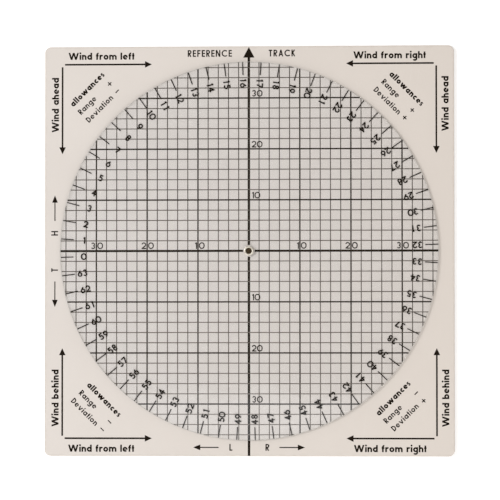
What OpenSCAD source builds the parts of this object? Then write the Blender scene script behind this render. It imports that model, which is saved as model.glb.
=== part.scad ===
// Wind component calculator: an opaque square plate printed with a squared grid, and a clear
// round dial with a 64-step scale that turns on an eyelet at the grid's centre.
// Millimetres. +Z is up, +Y is the way the long arrow points, and the origin is the middle of
// the plate's underside.

/* [Base plate] */
// Side of the square plate
plate_w = 201; // [170:1:260]
// Thickness of the plate
plate_t = 2; // [1.6:0.1:4]
// Radius of the plate's four corners
plate_corner_r = 3; // [0.5:0.5:10]

/* [Dial] */
// Bare border between the plate's edge and the dial's rim
dial_margin = 7.7; // [6.5:0.1:20]
// Thickness of the dial
dial_t = 1; // [0.6:0.1:2]
// Bevel on both edges of the dial's rim
dial_edge_bevel = 0.2; // [0.05:0.05:0.25]
// How far the dial is turned, counter-clockwise, with its 0 level to the left at zero degrees
dial_setting = 1.9; // [0:0.1:360]

/* [Eyelet and washers] */
// Open bore through the eyelet
eyelet_bore_d = 2.8; // [2:0.1:4]
// Thickness of the eyelet's sheet metal
eyelet_wall = 0.3; // [0.2:0.05:0.45]
// Width of the rolled flange, and of the rolled clinch at the back, from the bore outwards
eyelet_flange_w = 1; // [0.9:0.1:1.6]
// Width of the spacer washer's ring
spacer_ring_w = 0.6; // [0.5:0.05:2]
// Thickness of the spacer washer, which keeps the dial off the plate's print
spacer_t = 0.3; // [0.25:0.05:1]
// Width of the back washer's ring
back_washer_ring_w = 1.4; // [1.2:0.1:3]
// Thickness of the back washer
back_washer_t = 0.3; // [0.2:0.05:0.5]

/* [Fits] */
// Gap all round between the eyelet's barrel and the dial's bore
turning_clearance = 0.05; // [0.02:0.01:0.1]
// Gap all round between the eyelet's barrel and what it clamps
seat_clearance = 0.03; // [0.02:0.01:0.1]
// Gap between the dial and the eyelet's flange
end_float = 0.05; // [0.02:0.01:0.2]
// Gap all round between the back washer and its recess
recess_clearance = 0.2; // [0.1:0.05:0.5]
// How far the clinch stays inside the plate's back
recess_margin = 0.1; // [0.05:0.05:0.3]

/* [Printed grid] */
// Thickness of one pass of ink
ink_t = 0.03; // [0.01:0.01:0.04]
// Side of one small square
grid_square = 5; // [4:0.5:10]
// Small squares from one main line to the next
squares_per_main = 5; // [2:1:10]
// What one small square counts for in the grid's numbers
units_per_square = 2; // [1:1:10]
// Distance from the dial's rim in to the circle that the grid fills
grid_margin = 0.1; // [0:0.1:5]
// Width of the fine lines
fine_line_w = 0.42; // [0.15:0.01:0.5]
// Width of the main lines
main_line_w = 0.68; // [0.3:0.02:0.9]
// Width of the level axis
cross_axis_w = 1.05; // [0.5:0.05:1.5]
// Width of the upright axis, which is the long arrow
heading_axis_w = 1.2; // [0.5:0.05:1.5]
// Length of the long arrow's head
heading_head_len = 5.2; // [3:0.1:7]
// Width of the long arrow's head
heading_head_w = 5.5; // [3:0.1:8]
// Distance from the plate's top edge to the long arrow's point
heading_tip_gap = 0.4; // [0.3:0.1:3]
// Distance from the plate's bottom edge to the long arrow's tail
heading_tail_gap = 0.2; // [0.1:0.1:3]
// Bare ring left by the axes around the spacer washer
hub_print_gap = 0.5; // [0.05:0.05:1]
// Height of the grid's numbers
grid_digit_h = 3.2; // [2:0.1:3.5]
// Width of most digits of the grid's numbers
grid_digit_w = 2.25; // [1.5:0.05:2.6]
// Width of a nought in the grid's numbers
grid_nought_w = 2.75; // [1.5:0.05:3.2]
// Width of a one in the grid's numbers
grid_one_w = 1.1; // [0.9:0.05:1.6]
// Stroke of the grid's numbers
grid_digit_stroke = 0.5; // [0.2:0.02:0.6]
// Space between the digits on the level axis, where a main line passes after the first one
level_digit_gap = 1; // [0.6:0.1:1.5]
// Space between the digits beside the upright axis
upright_digit_gap = 0.3; // [0.2:0.1:1]
// Space from the middle of the level axis up to its numbers
level_number_rise = 1; // [0.6:0.1:1.5]
// Space from the middle of a main line up to the number beside the upright axis
upright_number_rise = 0.7; // [0.4:0.1:1.5]
// Space from the middle of the upright axis to the numbers beside it
upright_number_indent = 1.4; // [0.8:0.1:3]

/* [Printed arrows and signs] */
// Distance from the plate's edge in to the lines of the corner arrows
wind_arrow_inset = 8.7; // [5:0.1:12]
// Distance from the plate's edge to where each corner arrow starts
wind_arrow_start = 9.9; // [7:0.1:15]
// Length of a corner arrow
wind_arrow_len = 42.9; // [20:0.1:60]
// Stroke of a corner arrow
wind_arrow_stroke = 0.8; // [0.4:0.05:1]
// Length of a corner arrow's head
wind_head_len = 3.4; // [2:0.1:5]
// Width of a corner arrow's head
wind_head_w = 3.2; // [2:0.1:5]
// Distance from the plate's left edge in to the component arrows there
left_component_inset = 5; // [3:0.1:5.5]
// Distance from the plate's bottom edge in to the component arrows there
bottom_component_inset = 4.3; // [3:0.1:5.5]
// Distance from the axis to where each component arrow starts
component_start = 14.9; // [8:0.1:20]
// Length of a component arrow
component_len = 12.5; // [6:0.1:20]
// Stroke of a component arrow
component_stroke = 0.5; // [0.3:0.05:0.8]
// Length of a component arrow's head
component_head_len = 3.5; // [2:0.1:5]
// Width of a component arrow's head
component_head_w = 2.8; // [1.5:0.1:4]
// Length of a plus or minus sign's bars
sign_len = 2.2; // [1.5:0.1:4]
// Stroke of the plus and minus signs
sign_stroke = 0.5; // [0.3:0.05:0.8]
// Distance between the two signs of a pair
sign_pitch = 5.2; // [4:0.1:8]
// Distance along the diagonal from the top left corner to the nearer of its signs
sign_inset_top_left = 35.5; // [30:0.1:40]
// Distance along the diagonal from the top right corner to the nearer of its signs
sign_inset_top_right = 36.9; // [30:0.1:40]
// Distance along the diagonal from the bottom left corner to the nearer of its signs
sign_inset_bottom_left = 29.3; // [24:0.1:34]
// Distance along the diagonal from the bottom right corner to the nearer of its signs
sign_inset_bottom_right = 29.9; // [24:0.1:34]
// Distance of the top left signs from their diagonal
sign_offset_top_left = 9.7; // [5:0.1:14]
// Distance of the top right signs from their diagonal
sign_offset_top_right = 8; // [5:0.1:14]
// Distance of the bottom left signs from their diagonal
sign_offset_bottom_left = 10.8; // [5:0.1:14]
// Distance of the bottom right signs from their diagonal
sign_offset_bottom_right = 8.5; // [5:0.1:14]

/* [Dial scale] */
// Steps round the dial, each with a tick and a number
scale_steps = 64; // [16:4:64]
// Distance from the dial's rim in to the outer ends of the ticks
tick_margin = 0.25; // [0.25:0.05:2]
// Length of a tick
tick_len = 6.2; // [2:0.1:7]
// Width of a tick
tick_w = 0.45; // [0.2:0.05:0.8]
// Distance from the inner ends of the ticks to the numbers
scale_number_gap = 1.35; // [0.6:0.05:5]
// Height of the dial's digits
scale_digit_h = 3.3; // [2:0.05:4]
// Width of most of the dial's digits
scale_digit_w = 2.3; // [1.5:0.05:2.5]
// Width of a nought on the dial
scale_nought_w = 2.8; // [1.5:0.05:3.2]
// Width of a one on the dial
scale_one_w = 1.2; // [0.9:0.05:1.6]
// Space between a nought and the digit before it on the dial, which sets the pitch of all digits
scale_digit_gap = 0.05; // [0.05:0.05:0.6]
// Stroke of the dial's digits
scale_digit_stroke = 0.6; // [0.3:0.02:0.7]

/* [Hidden] */

$fn = 96;
// Extra reach of a cut past the face that it opens
cut = 1;

half_w = plate_w / 2;
corner_diagonal = half_w * sqrt(2);

// Radii of the pivot, from the bore outwards
bore_r = eyelet_bore_d / 2;
barrel_r = bore_r + eyelet_wall;
roll_r = eyelet_flange_w / 2;
roll_middle = bore_r + roll_r;
seat_r = barrel_r + seat_clearance;
dial_bore_r = barrel_r + turning_clearance;
spacer_r = dial_bore_r + spacer_ring_w;
back_washer_r = seat_r + back_washer_ring_w;
recess_r = back_washer_r + recess_clearance;

// Heights of the stack, from the plate's back upwards
clinch_z = recess_margin + roll_r;
recess_depth = clinch_z + back_washer_t;
first_pass_z = plate_t;
second_pass_z = first_pass_z + ink_t;
third_pass_z = second_pass_z + ink_t;
dial_z = plate_t + spacer_t;
dial_print_z = dial_z - ink_t;
dial_top = dial_z + dial_t;
flange_z = dial_top + end_float;

// The printed circle and the bare ring in its middle
dial_r = half_w - dial_margin;
grid_r = dial_r - grid_margin;
hub_r = spacer_r + hub_print_gap;
grid_count = floor(grid_r / grid_square);
main_count = floor(grid_count / squares_per_main);
main_pitch = grid_square * squares_per_main;

// Where the dial's ticks end, and where the tens and the units of its numbers stand
tick_inner_r = dial_r - tick_margin - tick_len;
tens_r = tick_inner_r - scale_number_gap - scale_digit_w / 2;
scale_digit_pitch = scale_digit_gap + (scale_digit_w + scale_nought_w) / 2;
units_r = tens_r - scale_digit_pitch;

INK = [0.11, 0.1, 0.09];
OFF_WHITE = [0.88, 0.85, 0.82];
CLEAR = [0.86, 0.9, 0.9, 0.3];
NICKEL = [0.86, 0.82, 0.74];

// Whether a line of the grid is a main line, and not the axis
function is_main(i) = i != 0 && i % squares_per_main == 0;
function is_fine(i) = i % squares_per_main != 0;

// Half of a grid line's length, and the part of it that the bare ring takes
function reach(offset) = sqrt(grid_r * grid_r - offset * offset);
function bare(offset) = abs(offset) < hub_r ? sqrt(hub_r * hub_r - offset * offset) : 0;

// A square with rounded corners, about the origin
module rounded_square(side, r) {
    square([side - 2 * r, side], center = true);
    square([side, side - 2 * r], center = true);
    for (x = [-1, 1], y = [-1, 1])
        translate([x, y] * (side / 2 - r)) circle(r);
}

// A flat ring standing on height z
module ring(inner, outer, z, thickness) {
    translate([0, 0, z]) linear_extrude(thickness) difference() {
        circle(outer);
        circle(inner);
    }
}

// One straight stroke between two points, with square ends
module bar(from, to, stroke) {
    run = to - from;
    translate(from) rotate(atan2(run.y, run.x))
        translate([0, -stroke / 2]) square([norm(run), stroke]);
}

// One round stroke about a middle, from one angle counter-clockwise to another
module arc(middle, r, from, to, stroke) {
    parts = ceil((to - from) / 60);
    far = 2 * (r + stroke);
    rays = [for (i = [0:parts]) from + (to - from) * i / parts];
    translate(middle) intersection() {
        difference() {
            circle(r + stroke / 2);
            circle(r - stroke / 2);
        }
        polygon(concat([[0, 0]], [for (a = rays) far * [cos(a), sin(a)]]));
    }
}

// A round joint or end of a stroke
module dot(at, stroke) {
    translate(at) circle(d = stroke);
}

// A six, and turned half round a nine: a ring with a straight tail that leaves it along a tangent
module six(a, b, s) {
    top = [a * 0.45, b];
    middle = [0, a - b];
    lean = atan2((top - middle).y, (top - middle).x) + acos(a / norm(top - middle));
    arc(middle, a, 0, 360, s);
    bar(middle + a * [cos(lean), sin(lean)], top, s);
}

// One digit about the origin, from its stroke's middle lines: a is half its width and b half its height
module digit(n, w, h, s) {
    a = (w - s) / 2;
    b = (h - s) / 2;
    if (n == 0) {
        arc([0, b - a], a, 0, 180, s);
        arc([0, a - b], a, 180, 360, s);
        for (x = [-a, a]) bar([x, a - b], [x, b - a], s);
    }
    if (n == 1) {
        bar([a, -b - s / 2], [a, b], s);
        bar([a, b], [-a, b - a * 1.6], s);
        dot([a, b], s);
    }
    if (n == 2) {
        bend = [a * cos(40), b - a - a * sin(40)];
        arc([0, b - a], a, -40, 170, s);
        bar(bend, [-a, -b], s);
        bar([-a, -b], [a + s / 2, -b], s);
        dot(bend, s);
        dot([-a, -b], s);
    }
    if (n == 3) {
        arc([0, b / 2], b / 2, -90, 160, s);
        arc([0, -b / 2], b / 2, -160, 90, s);
    }
    if (n == 4) {
        bar([a * 0.4, b], [-a, -b * 0.4], s);
        bar([-a, -b * 0.4], [a + s / 2, -b * 0.4], s);
        bar([a * 0.4, -b - s / 2], [a * 0.4, b], s);
        dot([a * 0.4, b], s);
        dot([-a, -b * 0.4], s);
    }
    if (n == 5) {
        bowl = b * 0.62;
        neck = [bowl * cos(125), bowl - b + bowl * sin(125)];
        arc([0, bowl - b], bowl, -150, 125, s);
        bar(neck, [-a * 0.6, b], s);
        bar([-a * 0.6, b], [a, b], s);
        dot(neck, s);
        dot([-a * 0.6, b], s);
    }
    if (n == 6) six(a, b, s);
    if (n == 7) {
        bar([-a - s / 2, b], [a, b], s);
        bar([a, b], [-a * 0.35, -b], s);
        dot([a, b], s);
    }
    if (n == 8) {
        arc([0, b * 0.53], b * 0.47, 0, 360, s);
        arc([0, -b * 0.47], b * 0.53, 0, 360, s);
    }
    if (n == 9) rotate(180) six(a, b, s);
}

// The two faces of type, each with the widths of a digit, a nought and a one, a height and a stroke
grid_face = [grid_digit_w, grid_nought_w, grid_one_w, grid_digit_h, grid_digit_stroke];
scale_face = [scale_digit_w, scale_nought_w, scale_one_w, scale_digit_h, scale_digit_stroke];

function digits_of(n) = [for (c = str(n)) ord(c) - ord("0")];
function digit_w(n, face) = n == 0 ? face[1] : n == 1 ? face[2] : face[0];

// Distance from a whole number's left end to its digit i
function digit_start(n, i, face, gap) =
    let (all = digits_of(n), steps = [for (j = [0:len(all) - 1]) j < i ? digit_w(all[j], face) + gap : 0])
    steps * [for (step = steps) 1];

// One digit about the origin, as a film of ink
module printed_digit(n, face) {
    linear_extrude(ink_t) digit(n, digit_w(n, face), face[3], face[4]);
}

// A whole number from its left end along +X, about the axis, each digit a separate film of ink
module number(n, face, gap) {
    all = digits_of(n);
    for (i = [0:len(all) - 1])
        translate([digit_start(n, i, face, gap) + digit_w(all[i], face) / 2, 0, 0])
            printed_digit(all[i], face);
}

// An arrow of ink along +X from the origin
module arrow(length, stroke, head_len, head_w) {
    linear_extrude(ink_t) {
        translate([0, -stroke / 2]) square([length - head_len, stroke]);
        polygon([[length - head_len, -head_w / 2], [length, 0], [length - head_len, head_w / 2]]);
    }
}

// One grid line along X at a height of offset, in two lengths where the bare ring cuts it
module grid_line(offset, width) {
    if (bare(offset) == 0)
        translate([-reach(offset), offset - width / 2, 0]) cube([2 * reach(offset), width, ink_t]);
    else
        for (side = [0, 180]) rotate(side)
            translate([bare(offset), (side == 0 ? offset : -offset) - width / 2, 0])
                cube([reach(offset) - bare(offset), width, ink_t]);
}

// All fine or all main lines along X
module grid_lines(fine) {
    for (i = [-grid_count:grid_count])
        if (fine ? is_fine(i) : is_main(i))
            grid_line(i * grid_square, fine ? fine_line_w : main_line_w);
}

// The plate, with the hole for the eyelet and the recess behind it
module base_plate() {
    color(OFF_WHITE) difference() {
        linear_extrude(plate_t) rounded_square(plate_w, plate_corner_r);
        translate([0, 0, -cut]) cylinder(r = seat_r, h = plate_t + 2 * cut);
        translate([0, 0, -cut]) cylinder(r = recess_r, h = recess_depth + cut);
    }
}

// The clear dial, with its rim bevelled on both sides
module dial() {
    color(CLEAR) translate([0, 0, dial_z]) rotate_extrude() polygon([
        [dial_bore_r, 0],
        [dial_r - dial_edge_bevel, 0],
        [dial_r, dial_edge_bevel],
        [dial_r, dial_t - dial_edge_bevel],
        [dial_r - dial_edge_bevel, dial_t],
        [dial_bore_r, dial_t]
    ]);
}

// Half of the eyelet's roll in section: an arch of sheet metal on the height z
module roll(z, side) {
    intersection() {
        translate([roll_middle, z]) difference() {
            circle(roll_r);
            circle(roll_r - eyelet_wall);
        }
        translate([bore_r, side > 0 ? z : z - roll_r]) square([eyelet_flange_w, roll_r]);
    }
}

// The eyelet: a barrel with a rolled flange over the dial and a rolled clinch in the plate's back
module eyelet() {
    color(NICKEL) rotate_extrude() {
        translate([bore_r, clinch_z]) square([eyelet_wall, flange_z - clinch_z]);
        roll(flange_z, 1);
        roll(clinch_z, -1);
    }
}

// The thin washer that carries the dial clear of the print
module spacer_washer() {
    color(CLEAR) ring(dial_bore_r, spacer_r, plate_t, spacer_t);
}

// The washer that the clinch is rolled against
module back_washer() {
    color(NICKEL) ring(seat_r, back_washer_r, clinch_z, back_washer_t);
}

module fine_lines_upright() {
    color(INK) translate([0, 0, first_pass_z]) rotate(90) grid_lines(true);
}

module fine_lines_level() {
    color(INK) translate([0, 0, second_pass_z]) grid_lines(true);
}

module main_lines_upright() {
    color(INK) translate([0, 0, first_pass_z]) rotate(90) grid_lines(false);
}

module main_lines_level() {
    color(INK) translate([0, 0, second_pass_z]) grid_lines(false);
}

// The upright axis: an arrow up from the bare ring, and a plain length down to the plate's edge
module heading_arrow() {
    up = half_w - heading_tip_gap - hub_r;
    down = half_w - heading_tail_gap - hub_r;
    color(INK) translate([0, 0, first_pass_z]) {
        rotate(90) translate([hub_r, 0, 0])
            arrow(up, heading_axis_w, heading_head_len, heading_head_w);
        rotate(-90) translate([hub_r, -heading_axis_w / 2, 0])
            cube([down, heading_axis_w, ink_t]);
    }
}

module cross_axis() {
    color(INK) translate([0, 0, second_pass_z]) grid_line(0, cross_axis_w);
}

// The numbers that stand on the level axis, and those beside the upright axis
module grid_numbers() {
    color(INK) translate([0, 0, third_pass_z])
        for (i = [1:main_count], side = [-1, 1]) {
            at = side * i * main_pitch;
            value = i * squares_per_main * units_per_square;
            before_line = digit_start(value, 1, grid_face, level_digit_gap) - level_digit_gap / 2;
            translate([at - before_line, level_number_rise + grid_digit_h / 2, 0])
                number(value, grid_face, level_digit_gap);
            translate([upright_number_indent, at + upright_number_rise + grid_digit_h / 2, 0])
                number(value, grid_face, upright_digit_gap);
        }
}

// A pair of arrows from each corner towards the middle of the two edges that meet there
module wind_arrows() {
    near = half_w - wind_arrow_inset;
    start = half_w - wind_arrow_start;
    color(INK) translate([0, 0, first_pass_z])
        for (x = [-1, 1], y = [-1, 1]) {
            translate([x * start, y * near, 0]) rotate(x > 0 ? 180 : 0)
                arrow(wind_arrow_len, wind_arrow_stroke, wind_head_len, wind_head_w);
            translate([x * near, y * start, 0]) rotate(-90 * y)
                arrow(wind_arrow_len, wind_arrow_stroke, wind_head_len, wind_head_w);
        }
}

// Two arrows up and down the left edge, and two along the bottom edge
module component_arrows() {
    color(INK) translate([0, 0, first_pass_z])
        for (way = [-1, 1]) {
            translate([left_component_inset - half_w, way * component_start, 0]) rotate(90 * way)
                arrow(component_len, component_stroke, component_head_len, component_head_w);
            translate([way * component_start, bottom_component_inset - half_w, 0])
                rotate(way > 0 ? 0 : 180)
                    arrow(component_len, component_stroke, component_head_len, component_head_w);
        }
}

// One plus or minus sign, a film of ink about the origin
module sign(plus) {
    linear_extrude(ink_t) {
        square([sign_len, sign_stroke], center = true);
        if (plus) square([sign_stroke, sign_len], center = true);
    }
}

// How far a corner's signs stand from the corner, and along their lines from its diagonal
function sign_inset(x, y) = y > 0
    ? (x < 0 ? sign_inset_top_left : sign_inset_top_right)
    : (x < 0 ? sign_inset_bottom_left : sign_inset_bottom_right);
function sign_offset(x, y) = y > 0
    ? (x < 0 ? sign_offset_top_left : sign_offset_top_right)
    : (x < 0 ? sign_offset_bottom_left : sign_offset_bottom_right);

// A pair of signs in each corner, in lines that run across the corner's diagonal: the first line is
// a plus in the top corners, and the line under it is a plus on the right
module correction_signs() {
    color(INK) translate([0, 0, first_pass_z])
        for (x = [-1, 1], y = [-1, 1]) {
            outer = y * (corner_diagonal - sign_inset(x, y));
            first = y > 0 ? outer : outer + sign_pitch;
            rotate(-45 * x * y) translate([sign_offset(x, y), first, 0]) sign(y > 0);
            rotate(-45 * x * y) translate([sign_offset(x, y), first - sign_pitch, 0]) sign(x > 0);
        }
}

// A tick at each step, under the dial, with 0 to the left and the count going clockwise
module dial_ticks() {
    color(INK) translate([0, 0, dial_print_z])
        for (i = [0:scale_steps - 1])
            rotate(180 + dial_setting - i * 360 / scale_steps)
                translate([tick_inner_r, -tick_w / 2, 0])
                    cube([tick_len, tick_w, ink_t]);
}

// A number at each tick, read from the rim inwards, with its digits at an even pitch
module dial_numbers() {
    color(INK) translate([0, 0, dial_print_z])
        for (i = [0:scale_steps - 1]) {
            all = digits_of(i);
            last = len(all) - 1;
            rotate(dial_setting - i * 360 / scale_steps)
                for (j = [0:last])
                    translate([(j - last) * scale_digit_pitch - units_r, 0, 0])
                        printed_digit(all[j], scale_face);
        }
}

base_plate();
dial();
eyelet();
spacer_washer();
back_washer();
fine_lines_upright();
fine_lines_level();
main_lines_upright();
main_lines_level();
heading_arrow();
cross_axis();
grid_numbers();
wind_arrows();
component_arrows();
correction_signs();
dial_ticks();
dial_numbers();
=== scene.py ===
"""Wind component calculator: a printed off-white plate, and a clear dial that turns on an eyelet.

The functions draw in millimetres and hand metres to Blender. +X is right in the picture, +Y is the way
that the long arrow points, and +Z is up off the plate.
"""

import functools
import math

import bpy
from mathutils import Matrix, Vector
from mathutils.geometry import delaunay_2d_cdt


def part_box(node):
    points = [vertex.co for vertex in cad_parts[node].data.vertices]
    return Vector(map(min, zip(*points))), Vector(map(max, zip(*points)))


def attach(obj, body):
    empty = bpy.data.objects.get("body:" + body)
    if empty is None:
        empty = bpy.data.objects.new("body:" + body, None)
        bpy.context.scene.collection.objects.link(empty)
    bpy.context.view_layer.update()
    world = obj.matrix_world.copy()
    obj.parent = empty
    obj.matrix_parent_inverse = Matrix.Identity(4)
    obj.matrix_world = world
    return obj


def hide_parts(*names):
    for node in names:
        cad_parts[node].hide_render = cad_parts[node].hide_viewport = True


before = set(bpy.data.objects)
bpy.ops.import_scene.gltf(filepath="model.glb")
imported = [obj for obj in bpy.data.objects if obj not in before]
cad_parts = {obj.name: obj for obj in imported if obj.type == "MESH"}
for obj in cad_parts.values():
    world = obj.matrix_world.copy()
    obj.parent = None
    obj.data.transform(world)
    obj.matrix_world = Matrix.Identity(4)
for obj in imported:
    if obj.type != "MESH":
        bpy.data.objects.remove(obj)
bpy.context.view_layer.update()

MM = 0.001


def node_box(name):
    """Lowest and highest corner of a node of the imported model, in millimetres."""
    low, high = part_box(name)
    return low / MM, high / MM


plate_low, plate_high = node_box("base_plate")
dial_low, dial_high = node_box("dial")
eyelet_low, eyelet_high = node_box("eyelet")
spacer_low, spacer_high = node_box("spacer_washer")
back_washer_low, back_washer_high = node_box("back_washer")

half_w = plate_high.x
plate_top = plate_high.z
dial_r = dial_high.x

# Sizes that the boxes of the nodes don't give
PLATE_CORNER_R = 3.0
PLATE_EDGE_R = 0.25
PLATE_BORE_R = 1.73
RECESS_R = 3.33
RECESS_DEPTH = 0.9
BREAK_EDGE = 0.08
FLAT_HOLD = 0.12
DIAL_BORE_R = 1.75
DIAL_EDGE_R = 0.2
EYELET_BORE_R = 1.4
EYELET_WALL = 0.3
# Radii of the grime and painted shade in the eyelet's bore
BORE_GRIME_AND_SHADE_INNER_R = 1.42
BORE_GRIME_AND_SHADE_OUTER_R = 1.6
# Width of the soil at the dial's rim, which is also painted shade there
RIM_SOIL_AND_SHADE_W = 0.5
PLATE_SOIL_W = 1.2
INK_T = 0.03

# Where the ink of the grid is faded, and how far from there it is faded most and least
FADED_PLACE = (0.0, -55.0, 2.0)
MOST_FADED_R = 30.0
LEAST_FADED_R = 110.0

# Sides of a turned piece
DIAL_SIDES = 360
SMALL_SIDES = 96

# Node trees


def add(tree, kind, values=None, **settings):
    """Add a shader node with its properties, and fill or link its inputs by name or number."""
    made = tree.nodes.new("ShaderNode" + kind)
    for name, value in settings.items():
        setattr(made, name, value)
    for key, value in (values or {}).items():
        if isinstance(value, bpy.types.NodeSocket):
            tree.links.new(value, made.inputs[key])
        else:
            made.inputs[key].default_value = value
    return made


def maths(tree, operation, first, second=0.0):
    return add(tree, "Math", {0: first, 1: second}, operation=operation).outputs[0]


def spread(tree, value, low, high, to_low=0.0, to_high=1.0):
    """A value's range from low to high, stretched to another range and held there."""
    ends = {"From Min": low, "From Max": high, "To Min": to_low, "To Max": to_high}
    return add(tree, "MapRange", {"Value": value, **ends}).outputs[0]


def tint(tree, amount, first, second):
    """A colour between two others."""
    mixed = add(tree, "Mix", {0: amount, 6: first, 7: second}, data_type="RGBA")
    return mixed.outputs[2]


def rgb(red, green, blue):
    return (red, green, blue, 1.0)


def new_effect(name, inputs, output):
    """Start a node group with named inputs and one output; the caller links the output."""
    group = bpy.data.node_groups.new(name, "ShaderNodeTree")
    for label, value in inputs.items():
        socket = group.interface.new_socket(label, in_out="INPUT", socket_type="NodeSocketFloat")
        socket.default_value = value
    group.interface.new_socket(output, in_out="OUTPUT", socket_type="NodeSocketFloat")
    given = group.nodes.new("NodeGroupInput").outputs
    result = group.nodes.new("NodeGroupOutput").inputs[output]
    return group, given, result


def use_effect(tree, group, **values):
    """Place an effect in a material with its own values, and return what it puts out."""
    placed = tree.nodes.new("ShaderNodeGroup")
    placed.node_tree = group
    for label, value in values.items():
        socket = placed.inputs[label]
        if isinstance(value, bpy.types.NodeSocket):
            tree.links.new(value, socket)
        else:
            socket.default_value = value
    return placed.outputs[0]


def object_place(tree):
    return add(tree, "TexCoord").outputs["Object"]


def from_axis(tree):
    """Distance of a point from the upright axis through the eyelet, in metres."""
    flat = add(tree, "VectorMath", {0: object_place(tree), 1: (1.0, 1.0, 0.0)}, operation="MULTIPLY")
    return add(tree, "VectorMath", {0: flat.outputs[0]}, operation="LENGTH").outputs["Value"]


def make_mottling():
    """Soft clouds of unevenness, with Scale in clouds to the metre."""
    group, given, result = new_effect("Mottling", {"Scale": 100.0}, "Amount")
    clouds = add(
        group,
        "TexNoise",
        {"Vector": object_place(group), "Scale": given["Scale"], "Detail": 5.0, "Roughness": 0.6},
    )
    group.links.new(spread(group, clouds.outputs[0], 0.3, 0.7), result)
    return group


def make_scuffs():
    """Fine straight hairlines in three directions, broken up by soft clouds."""
    group, given, result = new_effect("Hairline scuffs", {"Threshold": 0.68}, "Mask")
    place = object_place(group)
    edge = maths(group, "ADD", given["Threshold"], 0.05)
    lines = 0.0
    for turn, shift in ((0.5, 0.0), (-0.9, 0.31), (1.45, 0.77)):
        grain = add(
            group,
            "Mapping",
            {
                "Vector": place,
                "Location": (shift, shift, 0.0),
                "Rotation": (0.0, 0.0, turn),
                "Scale": (0.06, 0.0007, 0.06),
            },
            vector_type="TEXTURE",
        )
        streaks = add(group, "TexNoise", {"Vector": grain.outputs[0], "Scale": 1.0, "Detail": 1.0})
        marked = spread(group, streaks.outputs[0], given["Threshold"], edge)
        lines = maths(group, "MAXIMUM", marked, lines)
    clouds = add(group, "TexNoise", {"Vector": place, "Scale": 45.0, "Detail": 2.0})
    worn = spread(group, clouds.outputs[0], 0.42, 0.62)
    group.links.new(maths(group, "MULTIPLY", lines, worn), result)
    return group


def make_specks():
    """Small separate grains, such as dust or pinholes; Share of the cells holds one."""
    group, given, result = new_effect("Specks", {"Scale": 600.0, "Share": 0.1}, "Mask")
    cells = add(group, "TexVoronoi", {"Vector": object_place(group), "Scale": given["Scale"]})
    picked = maths(group, "LESS_THAN", cells.outputs["Color"], given["Share"])
    grain = spread(group, cells.outputs["Distance"], 0.12, 0.3, 1.0, 0.0)
    group.links.new(maths(group, "MULTIPLY", picked, grain), result)
    return group


def make_edge_soil_and_shade():
    """Dirt that fades away from an edge, and at the dial's rim painted shade as well: Distance from the
    edge and Width, both in metres.
    """
    group, given, result = new_effect("Edge soil and shade", {"Distance": 1.0, "Width": 0.001}, "Mask")
    clouds = add(group, "TexNoise", {"Vector": object_place(group), "Scale": 350.0, "Detail": 4.0})
    uneven = spread(group, clouds.outputs[0], 0.3, 0.7, 0.4, 1.6)
    reach = maths(group, "MULTIPLY", given["Width"], uneven)
    share = maths(group, "DIVIDE", given["Distance"], reach)
    group.links.new(spread(group, share, 0.0, 1.0, 1.0, 0.0), result)
    return group


def make_turning_marks():
    """Rings round the eyelet, from turning: Scale in marks to the metre of radius."""
    group, given, result = new_effect("Turning marks", {"Scale": 1500.0}, "Mask")
    flat = add(group, "VectorMath", {0: object_place(group), 1: (1.0, 1.0, 0.0)}, operation="MULTIPLY")
    ray = add(group, "VectorMath", {0: flat.outputs[0]}, operation="NORMALIZE")
    bend = add(group, "SeparateXYZ", {0: ray.outputs[0]})
    swept = add(
        group,
        "CombineXYZ",
        {
            0: from_axis(group),
            1: maths(group, "MULTIPLY", bend.outputs[0], 0.002),
            2: maths(group, "MULTIPLY", bend.outputs[1], 0.002),
        },
    )
    lines = add(group, "TexNoise", {"Vector": swept.outputs[0], "Scale": given["Scale"], "Detail": 2.0})
    group.links.new(spread(group, lines.outputs[0], 0.58, 0.72), result)
    return group


mottling = make_mottling()
scuffs = make_scuffs()
specks = make_specks()
edge_soil_and_shade = make_edge_soil_and_shade()
turning_marks = make_turning_marks()


def new_finish(name):
    """A material with an empty node tree."""
    finish = bpy.data.materials.new(name)
    finish.use_nodes = True
    finish.node_tree.nodes.clear()
    return finish, finish.node_tree


def show(tree, shader):
    add(tree, "OutputMaterial", {"Surface": shader.outputs[0]})


def bump(tree, height, depth, strength=1.0):
    """Bumps of a height from 0 to 1 and a depth in metres."""
    raised = add(tree, "Bump", {"Height": height, "Distance": depth, "Strength": strength})
    return raised.outputs[0]


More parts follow.
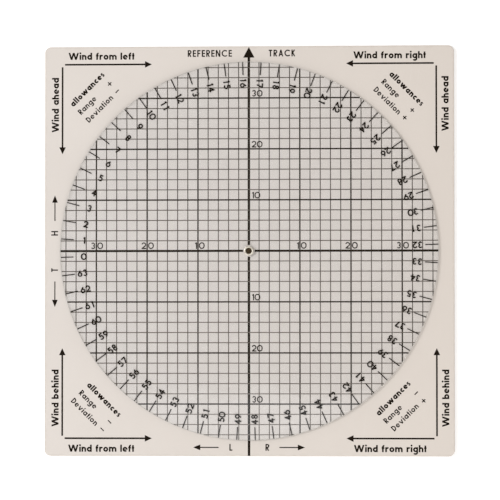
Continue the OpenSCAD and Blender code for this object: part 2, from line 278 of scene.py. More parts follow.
def make_plate_plastic():
    """Off-white rigid plastic, warmer and darker towards the right, soiled at its edges and lightly
    scuffed.
    """
    finish, tree = new_finish("plate_plastic")
    place = add(tree, "SeparateXYZ", {0: object_place(tree)})
    across = maths(tree, "ABSOLUTE", place.outputs[0])
    along = maths(tree, "ABSOLUTE", place.outputs[1])
    to_edge = maths(tree, "SUBTRACT", half_w * MM, maths(tree, "MAXIMUM", across, along))
    clouds = use_effect(tree, mottling, Scale=28.0)
    grain = use_effect(tree, mottling, Scale=2600.0)
    soil = use_effect(tree, edge_soil_and_shade, Distance=to_edge, Width=PLATE_SOIL_W * MM)
    dirt = use_effect(tree, specks, Scale=260.0, Share=0.05)
    marks = use_effect(tree, scuffs, Threshold=0.68)
    # Warmer and darker towards the right
    towards_right = spread(tree, place.outputs[0], -half_w * MM, half_w * MM)
    colour = tint(tree, clouds, rgb(0.731, 0.684, 0.646), rgb(0.753, 0.706, 0.668))
    colour = tint(tree, maths(tree, "MULTIPLY", towards_right, 0.2), colour, rgb(0.74, 0.62, 0.50))
    colour = tint(tree, maths(tree, "MULTIPLY", grain, 0.12), colour, rgb(0.64, 0.583, 0.543))
    colour = tint(tree, maths(tree, "MULTIPLY", soil, 0.3), colour, rgb(0.55, 0.49, 0.42))
    colour = tint(tree, maths(tree, "MULTIPLY", dirt, 0.22), colour, rgb(0.30, 0.25, 0.20))
    colour = tint(tree, maths(tree, "MULTIPLY", marks, 0.18), colour, rgb(0.80, 0.75, 0.71))
    roughness = spread(tree, grain, 0.0, 1.0, 0.40, 0.50)
    roughness = maths(tree, "ADD", roughness, maths(tree, "MULTIPLY", marks, 0.12))
    height = maths(tree, "SUBTRACT", grain, maths(tree, "MULTIPLY", marks, 0.6))
    surface = add(
        tree,
        "BsdfPrincipled",
        {
            "Base Color": colour,
            "Roughness": roughness,
            "IOR": 1.5,
            "Normal": bump(tree, height, 0.000006),
        },
    )
    show(tree, surface)
    return finish


def make_ink(name, pinholes, most_faded=0.0, least_faded=0.0):
    """Printing ink: a warm black that is a little uneven, with pinholes where it has worn.

    It is faded by one share around a place low in the grid, and by another far from there.
    """
    finish, tree = new_finish(name)
    # Ink paler around a place low in the grid, and less so far from there
    faded_place = Vector(FADED_PLACE) * MM
    from_faded_place = add(tree, "VectorMath", {0: object_place(tree), 1: faded_place}, operation="DISTANCE")
    near = MOST_FADED_R * MM
    far = LEAST_FADED_R * MM
    fade = spread(tree, from_faded_place.outputs["Value"], near, far, most_faded, least_faded)
    clouds = use_effect(tree, mottling, Scale=420.0)
    grain = use_effect(tree, mottling, Scale=5200.0)
    holes = use_effect(tree, specks, Scale=1900.0, Share=pinholes)
    marks = use_effect(tree, scuffs, Threshold=0.7)
    wear = maths(tree, "MAXIMUM", holes, maths(tree, "MULTIPLY", marks, 0.5))
    colour = tint(tree, clouds, rgb(0.0095, 0.0058, 0.0032), rgb(0.0150, 0.0100, 0.0062))
    colour = tint(tree, maths(tree, "MULTIPLY", wear, 0.3), colour, rgb(0.30, 0.27, 0.25))
    colour = tint(tree, fade, colour, rgb(0.52, 0.45, 0.39))
    surface = add(
        tree,
        "BsdfPrincipled",
        {
            "Base Color": colour,
            "Roughness": spread(tree, grain, 0.0, 1.0, 0.5, 0.68),
            "Specular IOR Level": 0.05,
            "Normal": bump(tree, grain, 0.000004),
        },
    )
    show(tree, surface)
    return finish


def make_clear_plastic(name, clear, soiled_and_shaded, entering, leaving, roughness, clearness):
    """Clear sheet plastic: faintly cool, scuffed by hand and by turning, soiled and darkened by painted
    shade at its rim.

    Light that only passes through on its way to the print is let straight on, and is tinted where it
    enters the sheet and where it leaves. A clearness below 1 is a frosted cut.
    """
    finish, tree = new_finish(name)
    to_rim = maths(tree, "SUBTRACT", dial_r * MM, from_axis(tree))
    # Soil along the rim, which is also painted shade for the dark line at the dial's edge
    soil = use_effect(tree, edge_soil_and_shade, Distance=to_rim, Width=RIM_SOIL_AND_SHADE_W * MM)
    marks = use_effect(tree, scuffs, Threshold=0.66)
    rings = use_effect(tree, turning_marks, Scale=1700.0)
    dust = use_effect(tree, specks, Scale=420.0, Share=0.06)
    swells = use_effect(tree, mottling, Scale=35.0)
    wear = maths(tree, "MAXIMUM", marks, maths(tree, "MULTIPLY", rings, 0.4))
    dull = maths(tree, "MAXIMUM", wear, dust)
    colour = tint(tree, maths(tree, "MULTIPLY", soil, 0.85), clear, soiled_and_shaded)
    colour = tint(tree, maths(tree, "MULTIPLY", dust, 0.10), colour, rgb(0.70, 0.68, 0.65))
    rough = maths(tree, "ADD", roughness, maths(tree, "MULTIPLY", dull, 0.10))
    height = maths(tree, "SUBTRACT", swells, maths(tree, "MULTIPLY", wear, 0.02))
    surface = add(
        tree,
        "BsdfPrincipled",
        {
            "Base Color": colour,
            "Roughness": rough,
            "IOR": 1.49,
            "Transmission Weight": clearness,
            "Normal": bump(tree, height, 0.00003, 0.35),
        },
    )
    inside = add(tree, "NewGeometry").outputs["Backfacing"]
    clear_way = add(tree, "BsdfTransparent", {"Color": tint(tree, inside, entering, leaving)})
    path = add(tree, "LightPath")
    straight = maths(tree, "MAXIMUM", path.outputs["Is Shadow Ray"], path.outputs["Is Diffuse Ray"])
    show(tree, add(tree, "MixShader", {0: straight, 1: surface.outputs[0], 2: clear_way.outputs[0]}))
    return finish


def make_metal(name, bright, tarnished, low_rough, high_rough):
    """Thin plated sheet metal with rings from rolling, dull patches of tarnish, and grime with painted
    shade in its bore.
    """
    finish, tree = new_finish(name)
    clouds = use_effect(tree, mottling, Scale=900.0)
    rings = use_effect(tree, turning_marks, Scale=9000.0)
    spots = use_effect(tree, specks, Scale=2600.0, Share=0.12)
    dull = maths(tree, "MAXIMUM", maths(tree, "MULTIPLY", clouds, 0.5), spots)
    # Grime and painted shade: the bore is made dark and dull so that the hollow reads dark
    bore_grime_and_shade = spread(tree, from_axis(tree), BORE_GRIME_AND_SHADE_INNER_R * MM, BORE_GRIME_AND_SHADE_OUTER_R * MM, 1.0, 0.0)
    colour = tint(tree, dull, bright, tarnished)
    roughness = spread(tree, dull, 0.0, 1.0, low_rough, high_rough)
    surface = add(
        tree,
        "BsdfPrincipled",
        {
            "Base Color": tint(tree, bore_grime_and_shade, colour, rgb(0.14, 0.115, 0.08)),
            "Metallic": 1.0,
            "Roughness": maths(tree, "MAXIMUM", roughness, maths(tree, "MULTIPLY", bore_grime_and_shade, 0.8)),
            "Normal": bump(tree, rings, 0.000004, 0.6),
        },
    )
    show(tree, surface)
    return finish


def make_spacer_nylon():
    """Milky washer plastic, dusty and ringed from turning."""
    finish, tree = new_finish("spacer_nylon")
    clouds = use_effect(tree, mottling, Scale=700.0)
    rings = use_effect(tree, turning_marks, Scale=6000.0)
    surface = add(
        tree,
        "BsdfPrincipled",
        {
            "Base Color": tint(tree, clouds, rgb(0.72, 0.70, 0.64), rgb(0.62, 0.59, 0.52)),
            "Roughness": spread(tree, rings, 0.0, 1.0, 0.38, 0.55),
            "Normal": bump(tree, rings, 0.000006),
        },
    )
    show(tree, surface)
    return finish


plate_plastic = make_plate_plastic()
plate_ink = make_ink("plate_ink", 0.03)
main_line_ink = make_ink("main_line_ink", 0.03, 0.05, 0.02)
fine_line_ink = make_ink("fine_line_ink", 0.03, 0.24, 0.10)
level_line_ink = make_ink("level_line_ink", 0.03, 0.33, 0.20)
dial_ink = make_ink("dial_ink", 0.06)
dial_face = make_clear_plastic(
    "dial_face",
    clear=rgb(0.962, 0.976, 0.980),
    soiled_and_shaded=rgb(0.78, 0.77, 0.75),
    entering=rgb(0.98, 0.985, 1.0),
    leaving=rgb(0.98, 0.985, 1.0),
    roughness=0.02,
    clearness=1.0,
)
# The rim's grey is a frosted cut with painted shade, which darkens the dial's edge
dial_rim = make_clear_plastic(
    "dial_rim",
    clear=rgb(0.66, 0.66, 0.64),
    soiled_and_shaded=rgb(0.50, 0.49, 0.46),
    entering=rgb(0.43, 0.43, 0.42),
    leaving=rgb(0.78, 0.78, 0.77),
    roughness=0.3,
    clearness=0.6,
)
eyelet_metal = make_metal("eyelet_metal", rgb(0.80, 0.76, 0.68), rgb(0.68, 0.63, 0.53), 0.5, 0.62)
washer_metal = make_metal("washer_metal", rgb(0.74, 0.72, 0.68), rgb(0.45, 0.42, 0.37), 0.3, 0.5)
spacer_nylon = make_spacer_nylon()


# Solid pieces, made of rings of points


def new_piece(name, points, faces, finishes, body, slot, *nodes):
    """Turn points in millimetres and faces into a piece that rides on a body and stands for nodes."""
    mesh = bpy.data.meshes.new(name)
    mesh.from_pydata([Vector(point) * MM for point in points], [], faces)
    mesh.validate()
    for finish in finishes:
        mesh.materials.append(finish)
    piece = bpy.data.objects.new(name, mesh)
    bpy.context.scene.collection.objects.link(piece)
    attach(piece, body)
    if nodes:
        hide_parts(*nodes)
    return piece


def skin(rings):
    """Points and faces over closed rings of equal count, with the last ring joined to the first."""
    count = len(rings[0])
    points = [point for ring in rings for point in ring]
    faces = []
    for i in range(len(rings)):
        here = i * count
        there = (i + 1) % len(rings) * count
        for j in range(count):
            k = (j + 1) % count
            faces.append((here + j, here + k, there + k, there + j))
    return points, faces


def soften(piece, degrees):
    """Smooth shading, broken at edges sharper than an angle."""
    piece.data.shade_smooth()
    piece.data.set_sharp_from_angle(angle=math.radians(degrees))


def circle(radius, z, angles):
    return [(radius * math.cos(a), radius * math.sin(a), z) for a in angles]


def even_angles(count):
    return [2 * math.pi * i / count for i in range(count)]


def quarter(x, z, radius, start, steps):
    """Points of a quarter circle in section, counter-clockwise from an angle in degrees."""
    turns = [math.radians(start + 90 * i / steps) for i in range(steps + 1)]
    return [(x + radius * math.cos(t), z + radius * math.sin(t)) for t in turns]


def plate_outline(inset, z):
    """The plate's outline drawn in by an inset: each corner's arc, and points along the sides."""
    corner = half_w - PLATE_CORNER_R
    radius = PLATE_CORNER_R - inset
    side_angles = [math.radians(-42 + 6 * i) for i in range(15)]
    outline = []
    for quarter_turn in range(4):
        turn = math.radians(90 * quarter_turn)
        local = [(half_w - inset, math.tan(a) * (half_w - PLATE_CORNER_R) * 0.99) for a in side_angles]
        for step in range(9):
            a = math.radians(90 * step / 8)
            local.append((corner + radius * math.cos(a), corner + radius * math.sin(a)))
        for x, y in local:
            outline.append(
                (x * math.cos(turn) - y * math.sin(turn), x * math.sin(turn) + y * math.cos(turn), z)
            )
    return outline


def make_plate():
    """The plate's sheet, with rings close to its rounded edges that hold the flat faces flat."""
    outer_angles = [math.atan2(y, x) for x, y, _ in plate_outline(0.0, 0.0)]
    bore_top = plate_top - BREAK_EDGE
    flat_inset = PLATE_EDGE_R + FLAT_HOLD
    rings = [circle(PLATE_BORE_R + BREAK_EDGE, plate_top, outer_angles)]
    rings.append(plate_outline(flat_inset, plate_top))
    top_edge = quarter(-PLATE_EDGE_R, plate_top - PLATE_EDGE_R, PLATE_EDGE_R, 0, 4)
    bottom_edge = quarter(-PLATE_EDGE_R, PLATE_EDGE_R, PLATE_EDGE_R, 270, 4)
    for inward, z in reversed(bottom_edge + top_edge):
        rings.append(plate_outline(-inward, z))
    rings.append(plate_outline(flat_inset, 0.0))
    rings.append(circle(RECESS_R + BREAK_EDGE, 0.0, outer_angles))
    rings.append(circle(RECESS_R, BREAK_EDGE, outer_angles))
    rings.append(circle(RECESS_R, RECESS_DEPTH, outer_angles))
    rings.append(circle(PLATE_BORE_R, RECESS_DEPTH, outer_angles))
    rings.append(circle(PLATE_BORE_R, bore_top, outer_angles))
    points, faces = skin(rings)
    plate = new_piece(
        "plate_sheet", points, faces, [plate_plastic], "plate_body", "plate_plastic", "base_plate"
    )
    soften(plate, 30)


def lathe(name, section, count, finishes, body, slot, node):
    """A turned piece from its closed section, counter-clockwise in (radius, height)."""
    angles = even_angles(count)
    points, faces = skin([circle(r, z, angles) for r, z in section])
    turned = new_piece(name, points, faces, finishes, body, slot, node)
    soften(turned, 40)
    return turned


def make_dial():
    """The clear disc, with points close to its rounded rim that hold the flat faces flat."""
    low = dial_low.z
    high = dial_high.z
    rim = quarter(dial_r - DIAL_EDGE_R, low + DIAL_EDGE_R, DIAL_EDGE_R, 270, 4)
    rim += quarter(dial_r - DIAL_EDGE_R, high - DIAL_EDGE_R, DIAL_EDGE_R, 0, 4)
    flat_r = dial_r - DIAL_EDGE_R - FLAT_HOLD
    inside = [
        (flat_r, high),
        (DIAL_BORE_R + BREAK_EDGE, high),
        (DIAL_BORE_R, high - BREAK_EDGE),
        (DIAL_BORE_R, low + BREAK_EDGE),
        (DIAL_BORE_R + BREAK_EDGE, low),
        (flat_r, low),
    ]
    section = rim + inside
    finishes = [dial_face, dial_rim]
    dial = lathe("dial_disc", section, DIAL_SIDES, finishes, "dial_body", "clear_plastic", "dial")
    for face in dial.data.polygons[: (len(rim) - 1) * DIAL_SIDES]:
        face.material_index = 1


def make_eyelet():
    """The hollow rivet: a barrel with a rolled flange above and a rolled clinch below."""
    middle = (eyelet_high.x + EYELET_BORE_R) / 2
    outer = eyelet_high.x - middle
    inner = outer - EYELET_WALL
    flange = eyelet_high.z - outer
    clinch = eyelet_low.z + outer
    section = quarter(middle, flange, outer, 0, 8) + quarter(middle, flange, outer, 90, 8)[1:]
    section += quarter(middle, clinch, outer, 180, 8) + quarter(middle, clinch, outer, 270, 8)[1:]
    section += reversed(quarter(middle, clinch, inner, 180, 6) + quarter(middle, clinch, inner, 270, 6)[1:])
    section += reversed(quarter(middle, flange, inner, 0, 6) + quarter(middle, flange, inner, 90, 6)[1:])
    lathe("eyelet_shell", section, SMALL_SIDES, [eyelet_metal], "plate_body", "eyelet_metal", "eyelet")


def make_washer(name, inner, outer, low, high, finish, slot, node):
    """A flat ring with its edges broken."""
    section = [
        (inner + BREAK_EDGE, low),
        (outer - BREAK_EDGE, low),
        (outer, low + BREAK_EDGE),
        (outer, high - BREAK_EDGE),
        (outer - BREAK_EDGE, high),
        (inner + BREAK_EDGE, high),
        (inner, high - BREAK_EDGE),
        (inner, low + BREAK_EDGE),
    ]
    lathe(name, section, SMALL_SIDES, [finish], "plate_body", slot, node)


make_plate()
make_dial()
make_eyelet()
make_washer(
    "spacer_ring",
    DIAL_BORE_R,
    spacer_high.x,
    spacer_low.z,
    spacer_high.z,
    spacer_nylon,
    "clear_plastic",
    "spacer_washer",
)
make_washer(
    "back_ring",
    PLATE_BORE_R,
    back_washer_high.x,
    back_washer_low.z,
    back_washer_high.z,
    washer_metal,
    "eyelet_metal",
    "back_washer",
)


# Pen strokes and letters, drawn in millimetres

ARC_STEP = 9


def bar(x0, y0, x1, y1, stroke):
    """A straight stroke with square ends."""
    run = Vector((x1 - x0, y1 - y0)).normalized() * stroke / 2
    return [
        Vector((x0 + run.y, y0 - run.x)),
        Vector((x1 + run.y, y1 - run.x)),
        Vector((x1 - run.y, y1 + run.x)),
        Vector((x0 - run.y, y0 + run.x)),
    ]


def slant(x0, y0, x1, y1, stroke):
    """A sloping stroke with its ends cut level."""
    half = stroke / 2 * math.hypot(x1 - x0, y1 - y0) / abs(y1 - y0)
    return [
        Vector((x0 - half, y0)),
        Vector((x0 + half, y0)),
        Vector((x1 + half, y1)),
        Vector((x1 - half, y1)),
    ]


def bow(x, y, across, up, start, end, stroke):
    """A round stroke about a middle, with its half width and half height, between two angles."""
    steps = max(2, math.ceil((end - start) / ARC_STEP))
    turns = [math.radians(start + (end - start) * i / steps) for i in range(steps + 1)]
    pen = stroke / 2
    outside = [Vector((x + (across + pen) * math.cos(t), y + (up + pen) * math.sin(t))) for t in turns]
    inside = [Vector((x + (across - pen) * math.cos(t), y + (up - pen) * math.sin(t))) for t in turns]
    return outside + inside[::-1]


def hoop(x, y, across, up, stroke):
    """A closed round stroke, in two halves."""
    return [bow(x, y, across, up, 0, 180, stroke), bow(x, y, across, up, 180, 360, stroke)]


def spot(x, y, radius):
    turns = [math.radians(30 * i) for i in range(12)]
    return [Vector((x + radius * math.cos(t), y + radius * math.sin(t))) for t in turns]


X_HEIGHT = 0.7
WORD_GAP = 0.34


@functools.cache
def letter(name, cap, stroke):
    """Outlines of a letter from its left end on the baseline, and its width."""
    pen = stroke / 2
    low = cap * X_HEIGHT
    mid = low / 2
    bowl = (low - stroke) / 2
    far = pen + 2 * bowl
    arch = cap * 0.21
    shoulder = low - pen - arch
    round_width = 2 * bowl + stroke
    arch_width = 2 * arch + stroke

    def stem(x, top, bottom=0.0):
        return bar(x, bottom, x, top, stroke)

    def beam(x0, x1, y):
        return bar(x0, y, x1, y, stroke)

    def arched(x):
        return [bow(x + arch, shoulder, arch, arch, 0, 180, stroke), stem(x + 2 * arch, shoulder)]

    def zigzag(xs, top):
        heights = [top if i % 2 == 0 else 0.0 for i in range(len(xs))]
        return [slant(xs[i], heights[i], xs[i + 1], heights[i + 1], stroke) for i in range(len(xs) - 1)]

    bowl_ring = hoop(pen + bowl, mid, bowl, bowl, stroke)
    if name == "a":
        return bowl_ring + [stem(far, low)], round_width
    if name == "b":
        return bowl_ring + [stem(pen, cap)], round_width
    if name == "c":
        return [bow(pen + bowl, mid, bowl, bowl, 48, 312, stroke)], round_width * 0.86
    if name == "d":
        return bowl_ring + [stem(far, cap)], round_width
    if name == "e":
        crossbar = bar(pen, mid, far + pen, mid, stroke * 0.45)
        return [bow(pen + bowl, mid, bowl, bowl, 0, 318, stroke), crossbar], round_width
    if name == "f":
        x = cap * 0.17
        hook = bow(x + arch * 0.8, cap - pen - arch * 0.8, arch * 0.8, arch * 0.8, 75, 180, stroke)
        return [stem(x, cap - pen - arch * 0.8), hook, beam(0.0, x + arch, low - pen)], x + arch * 1.1
    if name == "g":
        tail = bow(pen + bowl, -cap * 0.06, bowl, cap * 0.2, 210, 360, stroke)
        return bowl_ring + [stem(far, low, -cap * 0.06), tail], round_width
    if name == "h":
        return [stem(pen, cap)] + arched(pen), arch_width
    if name == "i":
        return [stem(pen, low), spot(pen, cap * 0.93, stroke * 0.58)], stroke
    if name == "l":
        return [stem(pen, cap)], stroke
    if name == "m":
        return [stem(pen, low)] + arched(pen) + arched(pen + 2 * arch), arch_width + 2 * arch
    if name == "n":
        return [stem(pen, low)] + arched(pen), arch_width
    if name == "o":
        return bowl_ring, round_width
    if name == "r":
        arm = bow(pen + arch, shoulder, arch, arch, 50, 180, stroke)
        return [stem(pen, low), arm], arch * 1.75 + pen
    if name == "s":
        thin = min(stroke, low * 0.27)
        half = (low - thin) / 4
        x = half + thin / 2
        upper = bow(x, low - x, half, half, 25, 270, thin)
        return [upper, bow(x, x, half, half, -155, 90, thin)], 2 * x
    if name == "t":
        x = cap * 0.17
        return [stem(x, cap * 0.94), beam(0.0, x * 2, low - pen)], x * 2
    if name == "v":
        step = cap * 0.28
        return zigzag([pen + step * i for i in range(3)], low), 2 * step + stroke
    if name == "w":
        step = cap * 0.23
        return zigzag([pen + step * i for i in range(5)], low), 4 * step + stroke
    return capital(name, cap, stroke, stem, beam, zigzag)


def capital(name, cap, stroke, stem, beam, zigzag):
    """Outlines and width of a capital, from the strokes that its letter case is drawn with."""
    pen = stroke / 2
    top = cap - pen
    half = cap / 2
    narrow = cap * 0.48
    broad = cap * 0.68
    upper = (top - half) / 2
    if name == "A":
        legs = [slant(pen, 0.0, broad / 2, cap, stroke), slant(broad / 2, cap, broad - pen, 0.0, stroke)]
        return legs + [beam(broad * 0.2, broad * 0.8, cap * 0.3)], broad
    if name == "C":
        return [bow(half, half, half - pen, half - pen, 46, 314, stroke)], cap * 0.86
    if name == "D":
        straight = [beam(0.0, pen * 2, y) for y in (pen, top)]
        turn = bow(pen * 2, half, broad - pen * 3, half - pen, -90, 90, stroke)
        return [stem(pen, cap), turn] + straight, broad
    if name == "E":
        return [stem(pen, cap)] + [beam(0.0, narrow, y) for y in (pen, half, top)], narrow
    if name == "F":
        return [stem(pen, cap), beam(0.0, narrow, top), beam(0.0, narrow * 0.92, half)], narrow
    if name == "H":
        return [stem(pen, cap), stem(broad - pen, cap), beam(pen, broad - pen, half)], broad
    if name == "K":
        arm = slant(pen + stroke * 0.2, half * 0.86, narrow * 0.92, cap, stroke)
        leg = slant(narrow * 0.36, half * 1.16, narrow * 0.98, 0.0, stroke)
        return [stem(pen, cap), arm, leg], narrow + pen
    if name == "L":
        return [stem(pen, cap), beam(0.0, narrow * 0.92, pen)], narrow * 0.92
    if name == "N":
        lean = stroke * 0.62
        slope = slant(lean, cap, broad - lean, 0.0, stroke)
        return [stem(pen, cap), slope, stem(broad - pen, cap)], broad
    if name == "R":
        straight = [beam(0.0, narrow - upper, y) for y in (half, top)]
        turn = bow(narrow - upper, half + upper, upper, upper, -90, 90, stroke)
        leg = slant(narrow * 0.45, half, narrow * 0.92, 0.0, stroke)
        return [stem(pen, cap), turn, leg] + straight, narrow + pen
    if name == "T":
        return [beam(0.0, narrow * 1.1, top), stem(narrow * 0.55, top)], narrow * 1.1
    if name == "W":
        step = cap * 0.31
        return zigzag([pen + step * i for i in range(5)], cap), 4 * step + stroke
    raise ValueError(f"no letter is drawn for {name}")


def flat_shape(outlines):
    """Points and triangles of the shape that outlines cover together, and the edges round it."""
    corners = []
    loops = []
    for outline in outlines:
        twice_area = sum(outline[i - 1].cross(outline[i]) for i in range(len(outline)))
        loops.append(list(range(len(corners), len(corners) + len(outline))))
        corners += outline if twice_area > 0 else outline[::-1]
    points, _, faces, _, _, owners = delaunay_2d_cdt(corners, [], loops, 1, 1e-5)
    covered = [face for face, owner in zip(faces, owners) if owner]
    sides = {(face[i - 1], face[i]) for face in covered for i in range(len(face))}
    rim = [(a, b) for a, b in sorted(sides) if (b, a) not in sides]
    return points, covered, rim


@functools.cache
def letter_shape(name, cap, stroke):
    return flat_shape(letter(name, cap, stroke)[0])


def moved(x, y, at_x, at_y, degrees):
    """A point shifted and then turned about the origin."""
    c = math.cos(math.radians(degrees))
    s = math.sin(math.radians(degrees))
    return (x + at_x) * c - (y + at_y) * s, (x + at_x) * s + (y + at_y) * c


def print_film(name, stamps):
    """A film of ink on the plate, from stamps: a flat shape, its shift, and its turn about the origin."""
    points = []
    faces = []
    for (corners, triangles, rim), at_x, at_y, degrees in stamps:
        first = len(points)
        count = len(corners)
        spots = [moved(corner.x, corner.y, at_x, at_y, degrees) for corner in corners]
        for z in (plate_top, plate_top + INK_T):
            points.extend((x, y, z) for x, y in spots)
        for face in triangles:
            faces.append([first + count + i for i in face])
            faces.append([first + i for i in reversed(face)])
        for a, b in rim:
            faces.append((first + a, first + b, first + count + b, first + count + a))
    new_piece(name, points, faces, [plate_ink], "plate_body", "ink")


def line_widths(text, cap, stroke):
    """Width of each letter and space in a line."""
    return [cap * WORD_GAP if mark == " " else letter(mark, cap, stroke)[1] for mark in text]


def line_stamps(text, cap, stroke, gap, x, y, degrees):
    """Stamps of a line of letters from its left end on the baseline, with a gap after each letter."""
    stamps = []
    for mark, width in zip(text, line_widths(text, cap, stroke)):
        if mark != " ":
            stamps.append((letter_shape(mark, cap, stroke), x, y, degrees))
        x += width + gap
    return stamps


def centred_stamps(text, cap, stroke, gap, x, y, degrees):
    """Stamps of a line of letters about its middle on the baseline."""
    length = sum(line_widths(text, cap, stroke)) + gap * (len(text) - 1)
    return line_stamps(text, cap, stroke, gap, x - length / 2, y, degrees)


# The faces of the words: height of a capital, stroke, and gap between letters
WIND_FACE = (3.45, 0.80, 0.36)
BOLD_FACE = (3.0, 0.76, 0.38)
LIGHT_FACE = (2.8, 0.54, 0.42)
GUIDE_FACE = (3.3, 0.58, 0.62)
COMPONENT_FACE = (3.3, 0.6, 0.0)


def make_wind_words():
    """Which wind each corner arrow stands for."""
    words = []
    for text, middle in (("Wind from left", -72.6), ("Wind from right", 69.0)):
        for baseline in (94.2, -98.4):
            words += centred_stamps(text, *WIND_FACE, middle, baseline, 0)
    for text, middle in (("Wind ahead", 71.9), ("Wind behind", -72.1)):
        for baseline in (93.6, -97.8):
            words += centred_stamps(text, *WIND_FACE, middle, baseline, 90)
    print_film("wind_words", words)


def make_allowance_words():
    """What the signs in each corner apply to, in lines across the corner's diagonal."""
    words = []
    for degrees, start, baseline, step in (
        (45, -11.0, 111.2, -5.5),
        (-45, -12.4, 109.4, -5.4),
        (-45, -9.8, -103.2, -5.5),
        (45, -12.2, -102.2, -5.3),
    ):
        words += line_stamps("allowances", *BOLD_FACE, start, baseline, degrees)
        words += line_stamps("Range", *LIGHT_FACE, start, baseline + step, degrees)
        words += line_stamps("Deviation", *LIGHT_FACE, start, baseline + 2 * step, degrees)
    print_film("allowance_words", words)


def make_guide_words():
    """What the long arrow shows, to the left and the right of its head."""
    words = centred_stamps("REFERENCE", *GUIDE_FACE, -19.2, 95.4, 0)
    words += centred_stamps("TRACK", *GUIDE_FACE, 16.3, 95.4, 0)
    print_film("guide_words", words)


def make_component_letters():
    """Head and tail beside the arrows on the left, and left and right beside those at the bottom."""
    words = centred_stamps("H", *COMPONENT_FACE, 8.8, 94.0, 90)
    words += centred_stamps("T", *COMPONENT_FACE, -9.3, 94.0, 90)
    words += centred_stamps("L", *COMPONENT_FACE, -8.9, -97.8, 0)
    words += centred_stamps("R", *COMPONENT_FACE, 9.0, -97.8, 0)
    print_film("component_letters", words)


make_wind_words()
make_allowance_words()
make_guide_words()
make_component_letters()

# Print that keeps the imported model's own solids
for node_name, ink in (
    ("fine_lines_upright", fine_line_ink),
    ("fine_lines_level", level_line_ink),
    ("main_lines_upright", main_line_ink),
    ("main_lines_level", main_line_ink),
    ("heading_arrow", plate_ink),
    ("cross_axis", plate_ink),
    ("grid_numbers", plate_ink),
    ("wind_arrows", plate_ink),
    ("component_arrows", plate_ink),
    ("correction_signs", plate_ink),
    ("dial_ticks", dial_ink),
    ("dial_numbers", dial_ink),
):
    for material_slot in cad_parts[node_name].material_slots:
        material_slot.material = ink


# Floor, light and camera

FLOOR_SIZE = 6.0
FLOOR_DROP = 0.00005
# Painted shade: a tan card under the plate, seen through the eyelet's bore, and the share of the plate's
# half width it spans
SHADE_CARD_SHARE = 0.98
TAN_SHADE_CARD = rgb(0.82, 0.66, 0.46)
CAMERA_DISTANCE = 1.5
CAMERA_LEAN = (0.051, -0.028)
CAMERA_ROLL = -0.11
PICTURE_WIDTH = 0.2450
PICTURE_MIDDLE = (0.00053, 0.00041)
SENSOR = 36.0

# The floor's glow to the eye, between two distances from the middle
GLOW_START = 0.4
GLOW_END = 1.8
NEAR_GLOW = 0.45
FAR_GLOW = 0.75

# The pale card overhead, in slopes away from the upright
CARD_MIDDLE = (-0.05, -0.12)
CARD_HALF = 0.1
CARD_BLUR = 0.003
CARD_COLOUR = rgb(0.98, 0.98, 0.98)
ROOM_SIDES = rgb(0.82, 0.82, 0.82)
ROOM_OVERHEAD = rgb(0.19, 0.16, 0.125)

# Each lamp's place and side in metres, and its power in watts
KEY_LAMP = ((-1.5, 0.45, 1.6), 0.9, 27.4)
FILL_LAMP = ((0.1, -1.2, 0.87), 1.66, 11.7)


def make_floor():
    """White paper that shows white to the eye, apart from its shadow, with a tan card under the plate as
    painted shade that the eyelet's bore shows.
    """
    finish, tree = new_finish("floor_paper")
    place = add(tree, "SeparateXYZ", {0: object_place(tree)})
    across = maths(tree, "ABSOLUTE", place.outputs[0])
    along = maths(tree, "ABSOLUTE", place.outputs[1])
    from_middle = maths(tree, "MAXIMUM", across, along)
    outside = maths(tree, "GREATER_THAN", from_middle, half_w * MM * SHADE_CARD_SHARE)
    clouds = use_effect(tree, mottling, Scale=60.0)
    white = tint(tree, clouds, rgb(0.80, 0.80, 0.80), rgb(0.83, 0.83, 0.83))
    # Under the plate the paper is the tan card, painted shade for the bore
    paper = add(tree, "BsdfDiffuse", {"Color": tint(tree, outside, TAN_SHADE_CARD, white)})
    path = add(tree, "LightPath").outputs
    seen = maths(tree, "MAXIMUM", path["Is Camera Ray"], path["Is Glossy Ray"])
    seen = maths(tree, "MAXIMUM", seen, path["Is Transmission Ray"])
    glow = spread(tree, from_middle, GLOW_START, GLOW_END, NEAR_GLOW, FAR_GLOW)
    glow = maths(tree, "MULTIPLY", maths(tree, "MULTIPLY", seen, outside), glow)
    lift = add(tree, "Emission", {"Strength": glow})
    show(tree, add(tree, "AddShader", {0: paper.outputs[0], 1: lift.outputs[0]}))
    half = FLOOR_SIZE / 2
    level = plate_low.z * MM - FLOOR_DROP
    mesh = bpy.data.meshes.new("floor")
    corners = [(-half, -half, level), (half, -half, level), (half, half, level), (-half, half, level)]
    mesh.from_pydata(corners, [], [(0, 1, 2, 3)])
    mesh.materials.append(finish)
    floor = bpy.data.objects.new("floor", mesh)
    bpy.context.scene.collection.objects.link(floor)


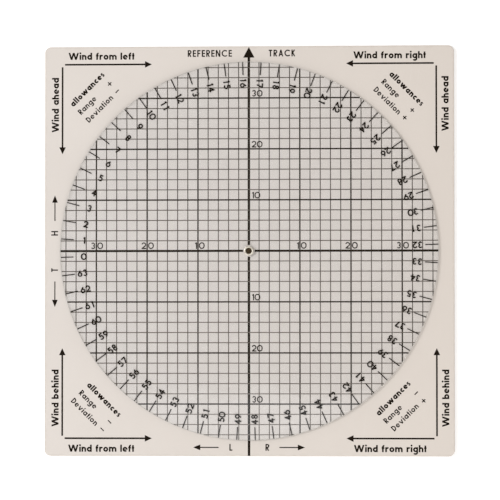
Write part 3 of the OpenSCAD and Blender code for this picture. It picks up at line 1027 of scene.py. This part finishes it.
def make_lamp(name, place, size, power):
    """A square soft lamp that faces the middle of the plate."""
    lamp = bpy.data.lights.new(name, "AREA")
    lamp.size = size
    lamp.energy = power
    holder = bpy.data.objects.new(name, lamp)
    holder.location = place
    holder.rotation_euler = (-Vector(place)).to_track_quat("-Z", "Y").to_euler()
    bpy.context.scene.collection.objects.link(holder)


def make_room():
    """A pale room, darker overhead, with a pale card there that the near part of the dial mirrors."""
    world = bpy.data.worlds.new("room")
    world.use_nodes = True
    tree = world.node_tree
    tree.nodes.clear()
    direction = add(tree, "SeparateXYZ", {0: add(tree, "TexCoord").outputs["Generated"]})
    height = spread(tree, direction.outputs[2], 0.1, 1.0)
    slopes = [maths(tree, "DIVIDE", direction.outputs[i], direction.outputs[2]) for i in range(2)]
    offsets = [maths(tree, "SUBTRACT", slope, middle) for slope, middle in zip(slopes, CARD_MIDDLE)]
    across, along = [maths(tree, "ABSOLUTE", offset) for offset in offsets]
    from_card = maths(tree, "MAXIMUM", across, along)
    past_card = spread(tree, from_card, CARD_HALF - CARD_BLUR, CARD_HALF + CARD_BLUR)
    room = tint(tree, height, ROOM_SIDES, ROOM_OVERHEAD)
    colour = tint(tree, past_card, CARD_COLOUR, room)
    light = add(tree, "Background", {"Color": colour, "Strength": 1.0})
    add(tree, "OutputWorld", {"Surface": light.outputs[0]})
    bpy.context.scene.world = world


def make_camera():
    """A camera nearly straight above, leaning a little to the right and to the front."""
    eye = bpy.data.cameras.new("camera")
    eye.sensor_width = SENSOR
    eye.lens = SENSOR * CAMERA_DISTANCE / PICTURE_WIDTH
    eye.clip_start = 0.01
    eye.clip_end = 20.0
    holder = bpy.data.objects.new("camera", eye)
    away = Vector((*CAMERA_LEAN, 1.0)).normalized()
    roll = math.radians(CAMERA_ROLL)
    up = away.cross(Vector((math.cos(roll), math.sin(roll), 0.0))).normalized()
    holder.rotation_euler = Matrix((up.cross(away), up, away)).transposed().to_euler()
    holder.location = Vector((*PICTURE_MIDDLE, plate_top * MM)) + away * CAMERA_DISTANCE
    bpy.context.scene.collection.objects.link(holder)
    bpy.context.scene.camera = holder


make_floor()
make_lamp("key_lamp", *KEY_LAMP)
make_lamp("fill_lamp", *FILL_LAMP)
make_room()
make_camera()
bpy.context.scene.view_settings.view_transform = "Standard"
